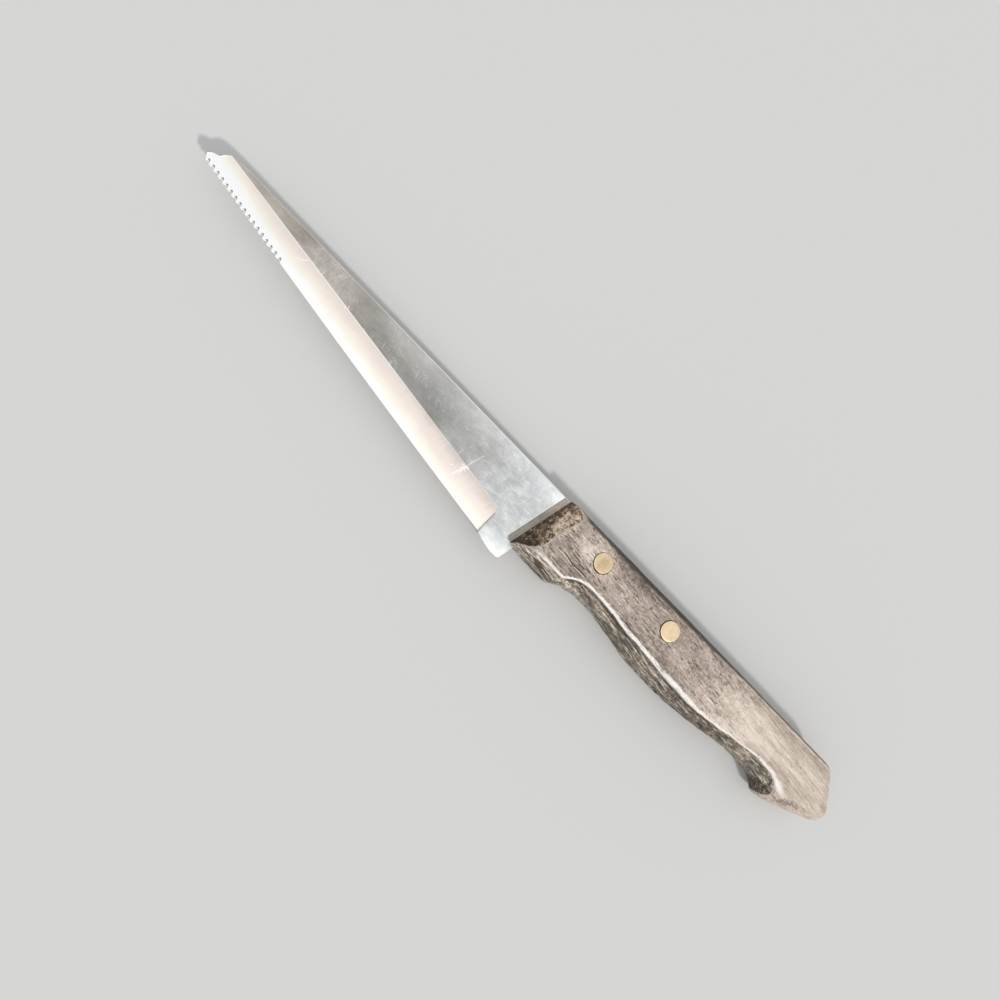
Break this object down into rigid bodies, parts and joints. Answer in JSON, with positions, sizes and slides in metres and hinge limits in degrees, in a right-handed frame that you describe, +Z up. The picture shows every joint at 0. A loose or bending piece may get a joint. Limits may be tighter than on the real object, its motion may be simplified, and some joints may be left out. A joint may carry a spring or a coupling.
{
  "type": "steak knife",
  "caption": "Steak knife with a ground steel blade, fine serrations near the tip, and a shaped one-piece wooden handle on a slotted half tang with flush brass rivets.",
  "frame": {"origin": "middle of the knife's box seen from above, on the plane that the handle's lower flat side lies on", "axes": "+X from the blade's tip to the butt, +Y from the cutting edge to the spine, +Z up through the thickness of the knife lying on its side"},
  "size_m": [0.2258, 0.0234, 0.012],
  "materials": {
    "blade_steel": "ground stainless steel, satin flats, fine transverse grinding lines on the bevels, light scratches",
    "handle_wood": "bare weathered hardwood, grey-brown, open lengthwise grain, darker end grain at the front",
    "rivet_tube_brass": "worn pale brass, ground flush",
    "rivet_pin_brass": "worn pale brass, ground flush"
  },
  "bodies": {
    "root": {"blade_with_tang": "blade_steel", "handle": "handle_wood", "rivet_1_tube": "rivet_tube_brass", "rivet_1_pin": "rivet_pin_brass", "rivet_2_tube": "rivet_tube_brass", "rivet_2_pin": "rivet_pin_brass"}
  },
  "joints": []
}
